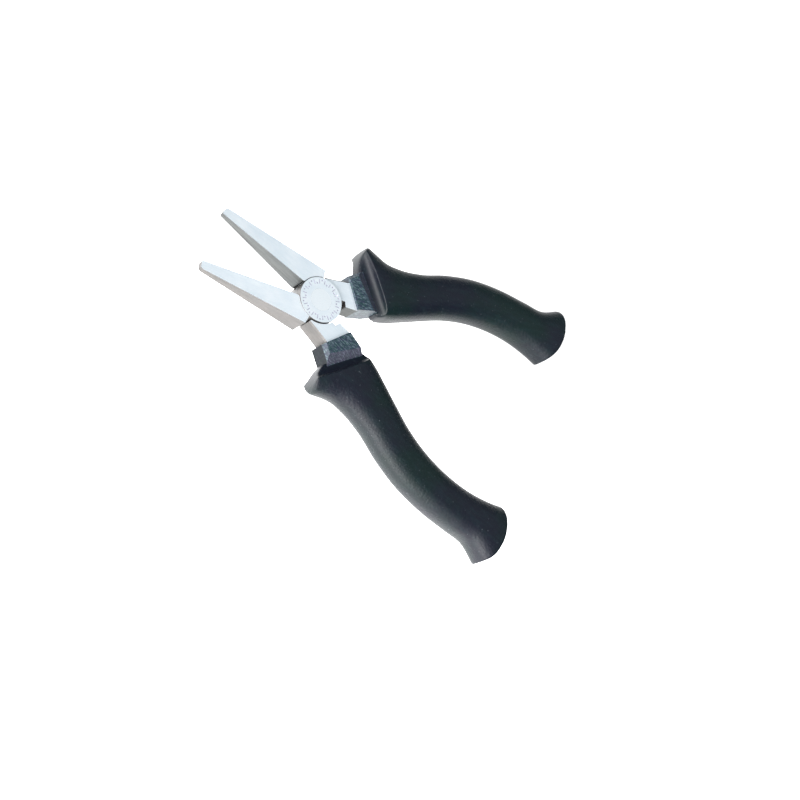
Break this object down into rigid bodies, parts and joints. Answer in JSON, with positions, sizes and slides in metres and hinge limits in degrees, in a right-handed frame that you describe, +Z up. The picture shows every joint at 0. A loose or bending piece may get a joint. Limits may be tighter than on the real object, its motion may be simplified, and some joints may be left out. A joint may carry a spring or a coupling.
{
  "type": "flat nose pliers",
  "caption": "Slim flat nose pliers with tapering smooth jaws, a crossed lap joint turned on a flush rivet, and moulded grips with a thumb guard and a flared foot.",
  "frame": {"origin": "bottom centre of the box round the tool lying flat with its handles open at rest", "axes": "+X towards the jaw tips, +Y to the side of the front half's jaw, +Z up along the pivot axis, out of the front half's joint disc"},
  "size_m": [0.1336, 0.1052, 0.0134],
  "materials": {
    "forged_steel": "satin ground steel with fine lines along the jaws",
    "rivet_steel": "ground flush with the joint",
    "collar_plastic": "blue-black moulded plastic, lightly streaked",
    "grip_rubber": "black soft plastic with a fine pebble grain, semi-gloss"
  },
  "bodies": {
    "front_lever": {"front_half": "forged_steel", "pivot_rivet": "rivet_steel", "front_collar": "collar_plastic", "front_grip": "grip_rubber"},
    "back_lever": {"back_half": "forged_steel", "back_collar": "collar_plastic", "back_grip": "grip_rubber"}
  },
  "joints": [
    {"name": "jaw_pivot", "type": "hinge", "parent": "front_lever", "child": "back_lever", "pos_m": [0.0254, 0, 0.0067], "axis": [0, 0, 1], "range_deg": [-3.5, 26]}
  ]
}
